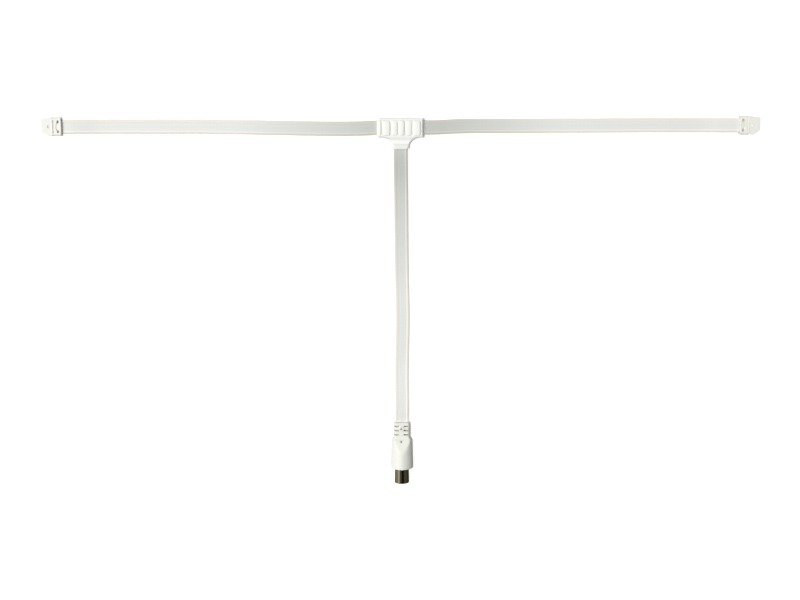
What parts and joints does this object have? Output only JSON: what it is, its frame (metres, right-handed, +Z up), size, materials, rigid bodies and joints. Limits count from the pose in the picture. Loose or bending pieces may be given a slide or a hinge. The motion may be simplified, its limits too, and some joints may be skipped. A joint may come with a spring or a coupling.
{
  "type": "indoor fm dipole antenna",
  "caption": "Flat T-shaped ribbon dipole for indoor FM reception, with a ribbed tee cover, end caps with hanging holes and a coaxial plug on its feeder.",
  "frame": {"origin": "on the surface that the antenna lies on, under the middle of the tee cover, where the arms' and the feeder's lines meet", "axes": "+X along the right arm, +Y away from the plug, +Z up out of the surface, with the ribbed face of the tee upwards"},
  "size_m": [0.4992, 0.2627, 0.0164],
  "materials": {
    "moulding": "white moulded PVC, smooth satin gloss",
    "ribbon": "milky extruded polyethylene ribbon with the copper showing faintly through each edge",
    "copper": "bare stranded copper",
    "solder": "bright tin solder",
    "nickel": "dark nickel-plated brass, polished",
    "insulator": "natural white polyethylene",
    "ferrite": "dark grey sintered ferrite"
  },
  "bodies": {
    "root": {"tee_cover": "moulding", "dipole_ribbon": "ribbon", "feeder_ribbon": "ribbon", "left_arm_wire_end": "copper", "right_arm_wire_end": "copper", "left_feeder_wire_end": "copper", "right_feeder_wire_end": "copper", "left_tee_solder": "solder", "right_tee_solder": "solder", "left_end_cap": "moulding", "right_end_cap": "moulding", "left_end_link": "copper", "right_end_link": "copper", "plug_body": "moulding", "plug_sleeve": "nickel", "plug_insulator": "insulator", "plug_centre_contact": "nickel", "left_plug_wire_end": "copper", "right_plug_wire_end": "copper", "left_plug_solder": "solder", "right_plug_solder": "solder", "balun_core": "ferrite", "balun_primary": "copper", "balun_secondary": "copper"}
  },
  "joints": []
}
